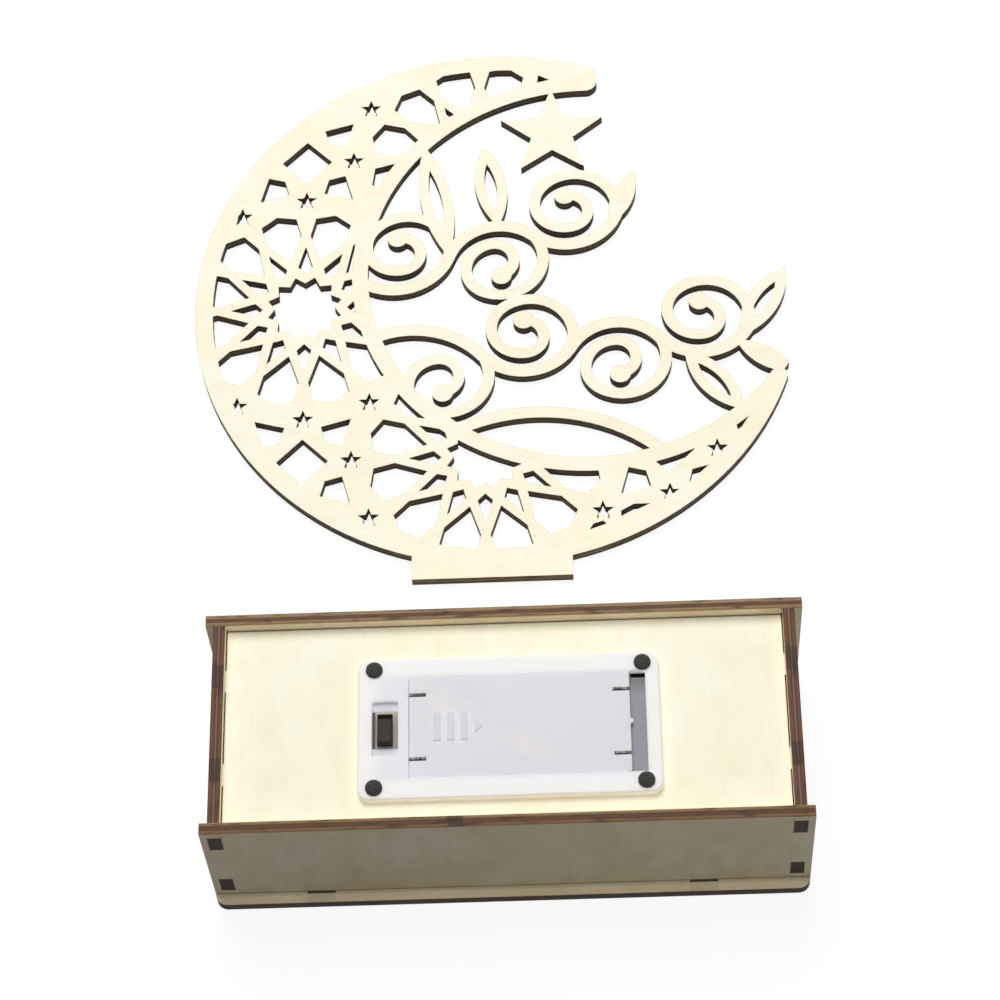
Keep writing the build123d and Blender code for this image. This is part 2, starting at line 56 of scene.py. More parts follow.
class Socket:
    """An output socket of a node tree. Arithmetic on it adds Math nodes."""

    def __init__(self, tree, socket=None):
        self.tree = tree
        self.socket = socket

    def feed(self, node, inputs):
        """Sets a node's sockets, each to a value or to a link."""
        for key, value in inputs.items():
            if isinstance(value, Socket):
                self.tree.links.new(value.socket, node.inputs[key])
            else:
                node.inputs[key].default_value = value

    def node(self, kind, settings, inputs, output=0):
        """Adds any other node: first its settings, then the values or links of its sockets."""
        made = self.tree.nodes.new(kind)
        for name, value in settings.items():
            if name == "stops":
                ramp = made.color_ramp.elements
                while len(ramp) < len(value):
                    ramp.new(1.0)
                for i, (position, colour) in enumerate(value):
                    ramp[i].position = position
                    ramp[i].color = colour
            else:
                setattr(made, name, value)
        self.feed(made, inputs)
        return Socket(self.tree, made.outputs[output])

    def math(self, operation, *values):
        """Adds a Math node that works on these values."""
        return self.node("ShaderNodeMath", {"operation": operation}, dict(enumerate(values)))

    def __add__(self, other):
        return self.math("ADD", self, other)

    __radd__ = __add__

    def __sub__(self, other):
        return self.math("SUBTRACT", self, other)

    def __rsub__(self, other):
        return self.math("SUBTRACT", other, self)

    def __mul__(self, other):
        return self.math("MULTIPLY", self, other)

    __rmul__ = __mul__

    def __truediv__(self, other):
        return self.math("DIVIDE", self, other)

    def __rtruediv__(self, other):
        return self.math("DIVIDE", other, self)

    def __abs__(self):
        return self.math("ABSOLUTE", self)

    def either(self, other):
        """The larger of two values, for masks that overlap."""
        return self.math("MAXIMUM", self, other)

    def smooth(self, low, high):
        """0 below low, 1 above high, and a soft step between."""
        limits = {0: self, 1: low, 2: high}
        return self.node("ShaderNodeMapRange", {"interpolation_type": "SMOOTHSTEP"}, limits)

    def between(self, low, high, soft):
        """1 from low to high, with soft ends."""
        return self.smooth(low - soft, low + soft) * (1 - self.smooth(high - soft, high + soft))

    def mix(self, at_zero, at_one):
        """Colour that goes from one to the other with this value."""
        return self.node("ShaderNodeMix", {"data_type": "RGBA"}, {0: self, 6: at_zero, 7: at_one}, 2)

    def part(self, axis):
        """One coordinate of a vector."""
        return self.node("ShaderNodeSeparateXYZ", {}, {0: self}, axis)

    def noise(self, per_mm, detail):
        """Noise at a place in millimetres, with so many waves per millimetre along each axis."""
        stretched = self.node("ShaderNodeVectorMath", {"operation": "MULTIPLY"}, {0: self, 1: per_mm})
        return self.node("ShaderNodeTexNoise", {}, {"Vector": stretched, "Scale": 1.0, "Detail": detail})

    def bump(self, height_mm):
        """Normal for a surface that rises by this value times a height."""
        return self.node("ShaderNodeBump", {}, {"Height": self, "Distance": height_mm * mm}, "Normal")


def tone(red, green, blue):
    """A colour as a colour picker reads it, 0 to 255, made linear."""
    linear = [((c / 255 + 0.055) / 1.055) ** 2.4 if c > 10 else c / 255 / 12.92 for c in (red, green, blue)]
    return (*linear, 1.0)


def finish(name, turn=(0, 0, 0), middle=(0, 0, 0)):
    """New material, and the place on the piece in millimetres from its middle, turned."""
    material = bpy.data.materials.new(name)
    material.use_nodes = True
    place = Socket(material.node_tree).node("ShaderNodeTexCoord", {}, {}, "Object")
    laid = {"Vector": place, "Location": middle, "Rotation": turn, "Scale": (mm, mm, mm)}
    return material, place.node("ShaderNodeMapping", {"vector_type": "TEXTURE"}, laid)


def coat(material, inputs):
    """Sets the material's Principled shader."""
    Socket(material.node_tree).feed(material.node_tree.nodes["Principled BSDF"], inputs)


sheet_tones = (tone(254, 251, 231), tone(253, 247, 220), tone(245, 235, 204))
# The box's tones are the sheet's made warmer and darker: painted shade for the dim warm light on its walls
# and plate.
shaded_box_tones = (tone(250, 238, 207), tone(240, 224, 188), tone(222, 203, 165))
birch_pore = tone(222, 200, 158)
toasted = tone(196, 152, 98)
charred = tone(46, 38, 32)
plate_plies = [
    (0.00, tone(78, 68, 54)),
    (0.30, tone(92, 80, 64)),
    (0.36, tone(60, 48, 40)),
    (0.64, tone(70, 58, 47)),
    (0.70, tone(60, 48, 40)),
    (1.00, tone(84, 72, 56)),
]


def birch_ply(name, axis, turn, middle, plies, toast,
              tones=sheet_tones, fibre=0, dark_places=(), burns_and_shade=None):
    """Raw birch plywood: pale faces with fine grain, burnt plies on the cut edges, scorch beside them.
    axis goes through the sheet, turn lays the sheet flat, and toast is how brown the scorch is.
    tones are the pale wood, its warmer clouds and its grain, and fibre is the axis that the grain follows.
    dark_places are stretches of cut edge that the beam burnt: an axis, a low and a high end, how black.
    burns gives the burnt places and painted shade on the faces, from the place and the scorch."""
    def along_fibre(lengthwise, crosswise, depthwise):
        return (lengthwise, crosswise, depthwise) if fibre == 0 else (crosswise, lengthwise, depthwise)

    pale, warm, lines = tones
    material, place = finish(name, turn, middle)
    cloud = place.noise(along_fibre(0.03, 0.06, 0.06), 3.0)
    blotch = place.noise(along_fibre(0.1, 0.16, 0.16), 4.0)
    grain = place.noise(along_fibre(0.05, 1.5, 0.7), 5.0)
    pores = place.noise(along_fibre(0.3, 6.0, 3.0), 2.0).smooth(0.6, 0.74)
    face = cloud.smooth(0.35, 0.7).mix(pale, warm)
    face = (0.4 * blotch.smooth(0.45, 0.75)).mix(face, lines)
    face = (0.3 * grain.smooth(0.4, 0.8)).mix(face, lines)
    face = (0.15 * pores).mix(face, birch_pore)
    scorch = place.node("ShaderNodeAttribute", {"attribute_name": "scorch"}, {}, 2)
    face = (toast * scorch * scorch * cloud.smooth(0.2, 0.6)).mix(face, toasted)
    if burns_and_shade:
        face = burns_and_shade(place, scorch).mix(face, charred)

    depth = place.part(2) / sheet_thickness + 0.5
    edge = depth.node("ShaderNodeValToRGB", {"stops": plies}, {0: depth})
    soot = place.noise((0.16, 0.16, 1.1), 4.0)
    edge = (0.75 * soot.smooth(0.5, 0.72)).mix(edge, charred)
    for along, low, high, black in dark_places:
        edge = (black * place.part(along).between(low, high, 0.5)).mix(edge, charred)

    normal = place.node("ShaderNodeTexCoord", {}, {}, "Normal")
    flat = abs(normal.part(axis)).smooth(0.5, 0.7)
    relief = flat * grain + (1 - flat) * soot
    coat(material, {
        "Base Color": flat.mix(edge, face),
        "Roughness": 0.82 - 0.2 * flat - 0.08 * grain,
        "Normal": relief.bump(0.03),
        "Specular IOR Level": 0.3,
    })
    return material


def keep_form(name, form):
    """A bmesh as an object of the scene."""
    mesh = bpy.data.meshes.new(name)
    form.to_mesh(mesh)
    form.free()
    made = bpy.data.objects.new(name, mesh)
    bpy.context.scene.collection.objects.link(made)
    return made


def laser_cut(node, axis, body, material):
    """The node's own solid as a sheet, with a narrow ring of faces along every cut edge for the scorch."""
    form = bmesh.new()
    form.from_mesh(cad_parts[node].data)
    scorch = form.verts.layers.float.new("scorch")
    bmesh.ops.remove_doubles(form, verts=form.verts, dist=weld)
    form.normal_update()
    flats = [face for face in form.faces if abs(face.normal[axis]) > flat_enough]
    bmesh.ops.inset_region(form, faces=flats, thickness=scorch_width, use_boundary=True)
    form.normal_update()
    for face in form.faces:
        if abs(face.normal[axis]) < flat_enough:
            for vert in face.verts:
                vert[scorch] = 1.0
    sheet = keep_form(node + "_sheet", form)
    sheet.data.materials.append(material)
    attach(sheet, body)
    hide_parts(node)


def middle_of(node):
    """The middle of a node's box."""
    low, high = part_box(node)
    return (low + high) / 2


tab_x = 48.2
tab_half = 3.6
wall_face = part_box("back_wall")[1].y / mm
wall_shade_reach = 1.3
shade_and_smoke_black = 0.35
tab_smoke = 0.4
lying = (0, 0, 0)


def plate_shade_and_smoke(place, scorch):
    """Painted shade on the plate along the long walls, and smoke stains in front of their tabs."""
    tabs = abs(place.part(0)).between(tab_x - tab_half, tab_x + tab_half, 0.4)
    # Painted shade on the plate beside the long walls, where they meet it.
    near = 1 - abs(place.part(1)).smooth(wall_face, wall_face + wall_shade_reach)
    return shade_and_smoke_black * near.either(tab_smoke * tabs)


plate_ply = birch_ply("top_plate_birch", 2, lying, middle_of("top_plate"), plate_plies, 0.4,
                      shaded_box_tones, burns_and_shade=plate_shade_and_smoke)
laser_cut("top_plate", 2, "base", plate_ply)

# Front and back walls of the box, the long ones, standing on edge on the plate.
# Birch plywood of the same sheet. The end walls' tenons come through their mortises,
# where the beam turned tight corners and burnt the wood round them.

wall_up = (math.radians(-90), 0, 0)
front_plies = [
    (0.00, tone(92, 70, 50)),
    (0.10, tone(110, 85, 60)),
    (0.28, tone(124, 96, 66)),
    (0.34, tone(78, 54, 42)),
    (0.46, tone(96, 70, 50)),
    (0.62, tone(90, 64, 46)),
    (0.68, tone(74, 52, 40)),
    (0.75, tone(122, 96, 64)),
    (0.90, tone(142, 118, 80)),
    (1.00, tone(166, 144, 104)),
]
back_plies = [
    (0.00, tone(120, 98, 68)),
    (0.10, tone(132, 108, 76)),
    (0.30, tone(148, 124, 92)),
    (0.36, tone(94, 66, 52)),
    (0.50, tone(104, 78, 58)),
    (0.64, tone(92, 64, 50)),
    (0.72, tone(146, 122, 90)),
    (0.92, tone(156, 134, 100)),
    (1.00, tone(130, 108, 76)),
]
tenon_x = abs(middle_of("left_end_wall").x) / mm
burn_reach = 2.1
plate_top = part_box("top_plate")[1].z
foot_band = 1.1
foot_fade_height = 5.0
wall_black = 0.85
front_burn = ((0, -14.3, -10.5, 0.7),)


def wall_char_and_shade(place, scorch):
    """Char round the mortises and over the tabs, and along the wall's foot, where it meets the plate, a
    dark band of char and painted shade that fades out up the wall.
    """
    along = abs(place.part(0))
    mortises = scorch.smooth(0.0, 0.7) * along.between(tenon_x - burn_reach, tenon_x + burn_reach, 0.15)
    foot = (middle_of("front_wall").z - plate_top) / mm
    down = place.part(1)
    near_foot = down.smooth(foot - foot_band, foot)
    tabs = along.between(tab_x - tab_half, tab_x + tab_half, 0.2) * near_foot
    # Painted shade and char in a dark band where the wall meets the plate, fading out up the wall.
    foot_shade_and_char = 0.6 * near_foot + 0.12 * down.smooth(foot - foot_fade_height, foot)
    return wall_black * mortises.either(tabs).either(foot_shade_and_char)


for wall, plies, dark in (("front_wall", front_plies, front_burn), ("back_wall", back_plies, ())):
    ply = birch_ply(wall + "_birch", 1, wall_up, middle_of(wall), plies, 0.6,
                    shaded_box_tones, fibre=1, dark_places=dark, burns_and_shade=wall_char_and_shade)
    laser_cut(wall, 1, "base", ply)

# End walls, set in 2 mm from the ends of the long walls and held by two tenons at each side.
# Their mortises for the bottom panel's tabs lie close under the edge,
# so the heat has blackened the narrow bridges of wood above them.

end_up = (0, math.radians(90), 0)
end_plies = [
    (0.00, tone(86, 58, 42)),
    (0.12, tone(114, 78, 54)),
    (0.34, tone(100, 68, 50)),
    (0.40, tone(74, 52, 44)),
    (0.47, tone(122, 104, 98)),
    (0.53, tone(122, 104, 98)),
    (0.60, tone(72, 50, 42)),
    (0.68, tone(98, 66, 48)),
    (0.88, tone(112, 76, 54)),
    (1.00, tone(84, 56, 40)),
]
bridge_middle = 12.9
bridge_half = 3.2
tenon_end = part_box("left_end_wall")[1].y / mm
tenon_soot = 1.5
burnt_spots = ((bridge_middle, bridge_half, 0.6), (tenon_end, tenon_soot, 0.9))
end_dark = []
for side in (-1, 1):
    for middle, half, black in burnt_spots:
        end_dark.append((1, side * middle - half, side * middle + half, black))
for wall in ("left_end_wall", "right_end_wall"):
    ply = birch_ply(wall + "_birch", 0, end_up, middle_of(wall), end_plies, 0.6,
                    shaded_box_tones, dark_places=end_dark)
    laser_cut(wall, 0, "base", ply)

# Bottom panel, let into the open side of the box with its tabs through the end walls.
# Birch plywood with the grain across the box, and the cut-out that the battery case hangs in.

panel_ply = birch_ply("bottom_panel_birch", 2, lying, middle_of("bottom_panel"), front_plies, 0.5,
                      fibre=1)
laser_cut("bottom_panel", 2, "base", panel_ply)

# Crescent, the ornament itself, which plugs into the slot of the top plate with the tab at its foot.
# One sheet of birch plywood, pierced by laser with rosettes, stars and a running scroll.
# So many cuts lie close together that soot has turned their walls a dark grey brown.

sooty_plies = [
    (0.00, tone(108, 94, 80)),
    (0.14, tone(124, 110, 92)),
    (0.31, tone(122, 108, 91)),
    (0.36, tone(104, 90, 77)),
    (0.42, tone(158, 145, 120)),
    (0.64, tone(152, 139, 115)),
    (0.70, tone(108, 94, 80)),
    (0.78, tone(138, 122, 96)),
    (1.00, tone(118, 102, 80)),
]
tab_reach = 9.0
past_edge = 1.0
crescent_middle = middle_of("crescent_panel")
sheet_half = (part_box("crescent_panel")[1].y - crescent_middle.y) / mm
all_but_tab = ((1, tab_reach - sheet_half, sheet_half + past_edge, 0.5),)
crescent_ply = birch_ply("crescent_birch", 2, lying, crescent_middle, sooty_plies, 0.3,
                         dark_places=all_but_tab)
laser_cut("crescent_panel", 2, "crescent", crescent_ply)

# Lamp board, screwed to the inner face of the top plate, with its lamps down in the plate's holes.
# A white-coated circuit board with two bare solder pads at its left end.


def assign(node, material):
    """Gives a node of the frame its finish."""
    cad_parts[node].data.materials.clear()
    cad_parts[node].data.materials.append(material)


pad_x = -29.0
pad_half = 1.3
pad_inside = 1.0
pad_outside = 3.0
track_y = 4.4
track_half = 0.6
etch = 0.1
board, place = finish("lamp_board_mask", middle=middle_of("led_board"))
across = abs(place.part(1))
pads = place.part(0).between(pad_x - pad_half, pad_x + pad_half, etch)
pads = pads * across.between(pad_inside, pad_outside, etch)
off_track = abs(across - track_y).smooth(track_half - etch, track_half + etch)
mask = place.noise((2.0, 2.0, 2.0), 3.0)
lacquer = (0.5 * mask).mix(tone(236, 238, 234), tone(226, 229, 224))
lacquer = off_track.mix(tone(214, 219, 212), lacquer)
coat(board, {
    "Base Color": pads.mix(lacquer, tone(206, 208, 206)),
    "Metallic": pads,
    "Roughness": 0.4 - 0.1 * pads + 0.08 * mask,
    "Normal": (mask * 0.3 - off_track).bump(0.03),
})
assign("led_board", board)

# Lamps, five in a row, each a moulded square body with a yellow phosphor lens that faces the plate's hole.
# They are soldered flat to the board at an even pitch.

lamp_count = 5
lamp_bevel = 0.25 * mm
lens_share = 0.4
lens_drop = 0.25 * mm
lens_rings = 6
lens_sides = 24


def lathe(form, rings, sides, height_at=None):
    """Turns (radius, height) rings into a closed skin; height_at may press a mark into it."""
    rows = []
    for radius, height in rings:
        if radius == 0:
            rows.append([form.verts.new((0, 0, height_at(0, 0, height) if height_at else height))])
            continue
        row = []
        for i in range(sides):
            x = radius * math.cos(2 * math.pi * i / sides)
            y = radius * math.sin(2 * math.pi * i / sides)
            row.append(form.verts.new((x, y, height_at(x, y, height) if height_at else height)))
        rows.append(row)
    for upper, lower in zip(rows, rows[1:]):
        for i in range(sides):
            corners = [upper[i % len(upper)], lower[i % len(lower)]]
            corners += [lower[(i + 1) % len(lower)], upper[(i + 1) % len(upper)]]
            form.faces.new(list(dict.fromkeys(corners)))
    return rows


lamp_low, lamp_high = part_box("leds")
lamp_size = lamp_high.y - lamp_low.y
lamp_height = lamp_high.z - lamp_low.z
lens_radius = lens_share * lamp_size
lens_seat = lens_drop - lamp_height / 2
dome = [(0, lens_seat + lens_drop)]
for i in range(lens_rings, -1, -1):
    share = i / lens_rings
    dome.append((share * lens_radius, lens_seat - lens_drop * (1 - share**2)))

form = bmesh.new()
lens_mark = form.verts.layers.float.new("lens")
bmesh.ops.create_cube(form, size=1.0)
bmesh.ops.scale(form, vec=(lamp_size, lamp_size, lamp_height - lens_drop), verts=form.verts)
bmesh.ops.translate(form, vec=(0, 0, lens_drop / 2), verts=form.verts)
bmesh.ops.bevel(form, geom=form.edges, offset=lamp_bevel, segments=2, affect="EDGES")
for row in lathe(form, dome, lens_sides):
    for vert in row:
        vert[lens_mark] = 1.0
lamp_form = keep_form("lamp_form", form)

lamp_finish, place = finish("lamp_body_and_lens")
lens = place.node("ShaderNodeAttribute", {"attribute_name": "lens"}, {}, 2)
speck = place.noise((4.0, 4.0, 4.0), 2.0)
phosphor = (0.4 * speck).mix(tone(238, 214, 110), tone(226, 190, 80))
coat(lamp_finish, {
    "Base Color": lens.mix(tone(240, 239, 232), phosphor),
    "Roughness": 0.5 - 0.25 * lens + 0.06 * speck,
})


def open_tree(name, kinds):
    """Starts a tree: gives it, the sockets of its named inputs and what they hold."""
    tree = bpy.data.node_groups.new(name, "GeometryNodeTree")
    sockets = {}
    for key, kind in kinds.items():
        sockets[key] = tree.interface.new_socket(key, in_out="INPUT", socket_type="NodeSocket" + kind)
    tree.interface.new_socket("Geometry", in_out="OUTPUT", socket_type="NodeSocketGeometry")
    outputs = tree.nodes.new("NodeGroupInput").outputs
    given = {key: Socket(tree, outputs[key]) for key in kinds}
    return tree, sockets, given


def close_tree(copies, material):
    """Ends a tree: real meshes, with their finish."""
    real = copies.node("GeometryNodeRealizeInstances", {}, {0: copies})
    dressed = real.node("GeometryNodeSetMaterial", {}, {"Geometry": real, "Material": material})
    dressed.feed(dressed.tree.nodes.new("NodeGroupOutput"), {0: dressed})


def row_tree():
    """Copies of one form along a line, at an even pitch."""
    tree, sockets, given = open_tree("row_of_lamps", {
        "Form": "Object",
        "Count": "Int",
        "Start": "Vector",
        "Pitch": "Vector",
        "Finish": "Material",
    })
    start = given["Start"]
    spacing = {"Count": given["Count"], "Start Location": start, "Offset": given["Pitch"]}
    line = start.node("GeometryNodeMeshLine", {"mode": "OFFSET"}, spacing)
    shape = start.node("GeometryNodeObjectInfo", {}, {"Object": given["Form"]}, "Geometry")
    copies = start.node("GeometryNodeInstanceOnPoints", {}, {"Points": line, "Instance": shape})
    close_tree(copies, given["Finish"])
    return tree, sockets


def grow(name, tree, sockets, values, body, node):
    """Runs a tree once and keeps the result as a plain mesh in place of a node."""
    piece = bpy.data.objects.new(name, bpy.data.meshes.new(name))
    bpy.context.scene.collection.objects.link(piece)
    modifier = piece.modifiers.new("tree", "NODES")
    modifier.node_group = tree
    for key, value in values.items():
        modifier[sockets[key].identifier] = value
    evaluated = piece.evaluated_get(bpy.context.evaluated_depsgraph_get())
    mesh = bpy.data.meshes.new_from_object(evaluated)
    piece.modifiers.remove(modifier)
    piece.data = mesh
    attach(piece, body)
    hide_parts(node)


lamp_middle = (lamp_low + lamp_high) / 2
lamp_pitch = (lamp_high.x - lamp_low.x - lamp_size) / (lamp_count - 1)
tree, sockets = row_tree()
grow("lamps", tree, sockets, {
    "Form": lamp_form,
    "Count": lamp_count,
    "Start": (lamp_low.x + lamp_size / 2, lamp_middle.y, lamp_middle.z),
    "Pitch": (lamp_pitch, 0, 0),
    "Finish": lamp_finish,
}, "base", "leds")
bpy.data.objects.remove(lamp_form)

# Screws: two plated ones hold the lamp board, four blackened ones the battery case.
# Steel with a domed head and a cross drive, cold-formed with a rolled thread, each left at its own angle.

screw_sides = 64
head_rings = 18
rim_share = 0.35
drive_width = 0.6 * mm
drive_share = 0.56
drive_depth = 0.25 * mm
drive_slope = 0.25 * mm
thread_pitch = 0.9 * mm
thread_root = 0.82
turn_seed = 11


def screw_form(name, head, head_height, shank, length):
    """One screw with its seat at the origin: dome, cross drive, threaded shank and point."""
    drive_length = drive_share * head

    def soft(value, width):
        return min(1.0, max(0.0, (width / 2 - abs(value)) / drive_slope + 0.5))

    def press(x, y, height):
        if height <= 0:
            return height
        one_bar = soft(x, drive_width) * soft(y, drive_length)
        other_bar = soft(y, drive_width) * soft(x, drive_length)
        return height - drive_depth * max(one_bar, other_bar)

    rim = rim_share * head_height
    rings = []
    for i in range(head_rings + 1):
        share = i / head_rings
        rings.append((share * head / 2, rim + (head_height - rim) * (1 - share**2)))
    rings.append((head / 2, 0))
    turns = int((length - shank) / thread_pitch)
    for i in range(turns):
        rings.append((thread_root * shank / 2, -i * thread_pitch))
        rings.append((shank / 2, -(i + 0.5) * thread_pitch))
    rings += [(thread_root * shank / 2, -turns * thread_pitch), (0, -length)]
    form = bmesh.new()
    lathe(form, rings, screw_sides, press)
    bmesh.ops.recalc_face_normals(form, faces=form.faces)
    return keep_form(name, form)


def corner_tree():
    """Copies of one form at the corners of a rectangle, each turned at random."""
    tree, sockets, given = open_tree("screws_at_corners", {
        "Form": "Object",
        "Length": "Float",
        "Width": "Float",
        "Rows": "Int",
        "Centre": "Vector",
        "Finish": "Material",
    })
    centre = given["Centre"]
    corners = centre.node("GeometryNodeMeshGrid", {}, {
        "Size X": given["Length"],
        "Size Y": given["Width"],
        "Vertices X": 2,
        "Vertices Y": given["Rows"],
    })
    corners = centre.node("GeometryNodeTransform", {}, {"Geometry": corners, "Translation": centre})
    shape = centre.node("GeometryNodeObjectInfo", {}, {"Object": given["Form"]}, "Geometry")
    half_turn = {2: 0.0, 3: math.pi, "Seed": turn_seed}
    angle = centre.node("FunctionNodeRandomValue", {"data_type": "FLOAT"}, half_turn, 1)
    turned = centre.node("ShaderNodeCombineXYZ", {}, {"Z": angle})
    placed = {"Points": corners, "Instance": shape, "Rotation": turned}
    copies = centre.node("GeometryNodeInstanceOnPoints", {}, placed)
    close_tree(copies, given["Finish"])
    return tree, sockets


def black_steel():
    """Black oxide on steel, a little worn and dusty."""
    material, place = finish("blackened_steel")
    dust = place.noise((0.9, 0.9, 0.9), 4.0)
    fine = place.noise((9.0, 9.0, 9.0), 2.0)
    coat(material, {
        "Base Color": (0.5 * dust).mix(tone(50, 50, 48), tone(70, 69, 66)),
        "Roughness": 0.6 + 0.2 * dust,
        "Normal": fine.bump(0.02),
        "Specular IOR Level": 0.25,
    })
    return material


def plated_steel(name, dull):
    """Nickel plating with fine drawing lines."""
    material, place = finish(name)
    lines = place.noise((0.6, 0.6, 14.0), 3.0)
    stain = place.noise((0.5, 0.5, 0.5), 3.0)
    coat(material, {
        "Base Color": (0.6 * stain).mix(tone(190, 186, 176), tone(158, 151, 140)),
        "Metallic": 1.0,
        "Roughness": dull + 0.18 * lines,
        "Normal": lines.bump(0.004),
    })
    return material


tree, sockets = corner_tree()
board_steel = plated_steel("plated_screw", 0.3)
screw_kinds = (
    ("board_screw_pair", "board_screws", 3.4, 1.2, 1.6, 1, board_steel, "bright_metal"),
    ("case_screw_set", "case_screws", 4.2, 1.6, 2.2, 2, black_steel(), "black_screw"),
)
for name, node, head, head_height, shank, rows, screw_finish, slot in screw_kinds:
    low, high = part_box(node)
    length = high.z - low.z - head_height * mm
    form = screw_form(name + "_form", head * mm, head_height * mm, shank * mm, length)
    grow(name, tree, sockets, {
        "Form": form,
        "Length": high.x - low.x - head * mm,
        "Width": high.y - low.y - head * mm,
        "Rows": rows,
        "Centre": ((low.x + high.x) / 2, (low.y + high.y) / 2, high.z - head_height * mm),
        "Finish": screw_finish,
    }, "base", node)
    bpy.data.objects.remove(form)

# Battery case, hung through the bottom panel with its flange on top.
# Frosted white polypropylene, moulded in one piece, with a fine spark-eroded texture that lets light in.
# The floor of the pocket beside the door is a thin web, painted grey as shade of the dark inside showing
# through it.

flange_low, flange_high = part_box("battery_case")
door_low, door_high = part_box("battery_door")
case_middle = (flange_low + flange_high) / 2
case_half = (flange_high - flange_low) / 2 / mm
bay_back = (door_high.y - case_middle.y) / mm
pocket_left = (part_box("bridge_contact")[1].x - case_middle.x) / mm
pocket_width = 5.0
pocket_floor = -1.4
web_half = 0.15
shade_start = 7.0
shade_end = 1.5
window_margin = 2.0
window_end = (door_low.x - case_middle.x) / mm - window_margin
window_floor = -0.6
window_top = -0.3
gap_depth = -2.0
gap_lip = 0.05
light_reach = 2.5 * mm
even_scatter = (1.0, 0.97, 0.94)
no_glow = (0, 0, 0, 1)
painted_glow = tone(148, 147, 150)
rim_light = 0.75


def frosted(material, colour, grit, lit):
    """Milky moulded plastic with a fine texture, and a painted glow where lit is 1, standing in for light
    carried inside it.
    """
    coat(material, {
        "Base Color": colour,
        "Roughness": 0.46 + 0.16 * grit,
        "Normal": grit.bump(0.012),
        "Emission Color": lit.mix(no_glow, painted_glow),
        "Emission Strength": 1.0,
        "Subsurface Weight": 0.45,
        "Subsurface Radius": even_scatter,
        "Subsurface Scale": light_reach,
        "Specular IOR Level": 0.3,
    })


def upright(place):
    """1 on the faces that stand upright."""
    normal = place.node("ShaderNodeTexCoord", {}, {}, "Normal")
    return 1 - abs(normal.part(2)).smooth(0.3, 0.6)


case_finish, place = finish("frosted_case", middle=(case_middle.x, case_middle.y, flange_high.z))
along = place.part(0)
across = place.part(1)
height = place.part(2)
haze = place.noise((0.06, 0.06, 0.06), 3.0)
grit = place.noise((5.0, 5.0, 5.0), 3.0)
milk = haze.smooth(0.3, 0.7).mix(tone(238, 237, 241), tone(232, 232, 237))
share_along = abs(along) / case_half.x
share_across = abs(across) / case_half.y
# Painted light: the flange's border lighter, for light through its translucent edge.
rim = share_along.smooth(0.8, 0.95).either(share_across.smooth(0.68, 0.8))
milk = rim.mix(milk, tone(253, 250, 246))
inner = 1 - share_along.either(share_across).smooth(0.9, 0.93)
web = inner * along.between(pocket_left, pocket_left + pocket_width, 0.1)
web = web * height.between(pocket_floor - web_half, pocket_floor + web_half, 0.05)
# Painted shade on the web, darker towards the back of the pocket.
web_painted_shade = across.smooth(bay_back - shade_start, bay_back - shade_end)
milk = web.mix(milk, web_painted_shade.mix(tone(146, 146, 154), tone(118, 117, 119)))
# Painted shade: the floor of the switch's well greyer than the rest.
window_painted_shade = inner * (1 - along.smooth(window_end, window_end + 0.1))
window_painted_shade = window_painted_shade * (1 - height.smooth(window_floor, window_top))
milk = window_painted_shade.mix(milk, tone(212, 212, 217))
standing = upright(place)
# Painted light: the flange's outer walls cream and glowing instead of lying in shade.
rim_walls = standing * (1 - inner)
milk = rim_walls.mix(milk, tone(245, 232, 200))
# Painted light: the walls of the gap round the door, of the switch's well and the pocket's far wall glow
# where they would lie in shade.
gap_walls = standing * inner * height.between(gap_depth, -gap_lip, 0.02)
in_pocket = along.smooth(pocket_left - 0.1, pocket_left)
pocket_back = across.smooth(bay_back - 0.5, bay_back - 0.3)
gap_light = gap_walls * (1 - in_pocket * (1 - pocket_back))
frosted(case_finish, milk, grit, gap_light + rim_light * rim_walls)
assign("battery_case", case_finish)

# Battery contacts: a bridge at the right end of the bay and one contact for each cell at the left.
# Stamped from nickel-plated spring steel and pushed into the case.

contact_steel = plated_steel("nickel_contact", 0.22)
for node in ("bridge_contact", "positive_contact", "negative_contact"):
    assign(node, contact_steel)

# Battery door, which slides to the right to come off.
# The same moulding material as the case, a little greyer, with three raised grip bars and an arrow.

door_middle = (door_low + door_high) / 2
door_half = (door_high - door_low) / 2 / mm
slit_y = 8.75
slit_half = 0.6
slit_top = -0.15
slit_light = 0.22
glint_light = 1.3
front_light = 0.35
bar_light = 1.1
door_finish, place = finish("frosted_door", middle=(door_middle.x, door_middle.y, flange_high.z))
across = place.part(1)
height = place.part(2)
haze = place.noise((0.05, 0.05, 0.05), 3.0)
blush = place.noise((0.045, 0.07, 0.05), 2.0)
grit = place.noise((5.0, 5.0, 5.0), 3.0)
milk = haze.smooth(0.3, 0.7).mix(tone(228, 228, 233), tone(222, 223, 229))
milk = (0.7 * blush.smooth(0.52, 0.72)).mix(milk, tone(238, 230, 227))
slit_walls = abs(across).between(slit_y - slit_half, slit_y + slit_half, 0.05)
slit_walls = slit_walls * (1 - height.smooth(2 * slit_top, slit_top))
# Painted shade: the slit walls dark brown.
milk = slit_walls.mix(milk, tone(124, 112, 98))
raised = 0.4 * height.smooth(0.1, 0.3)
milk = raised.mix(milk, tone(206, 201, 202))
# Painted glints that glow on the slit walls.
painted_glints = place.noise((1.1, 0.3, 0.3), 2.0).smooth(0.47, 0.6)
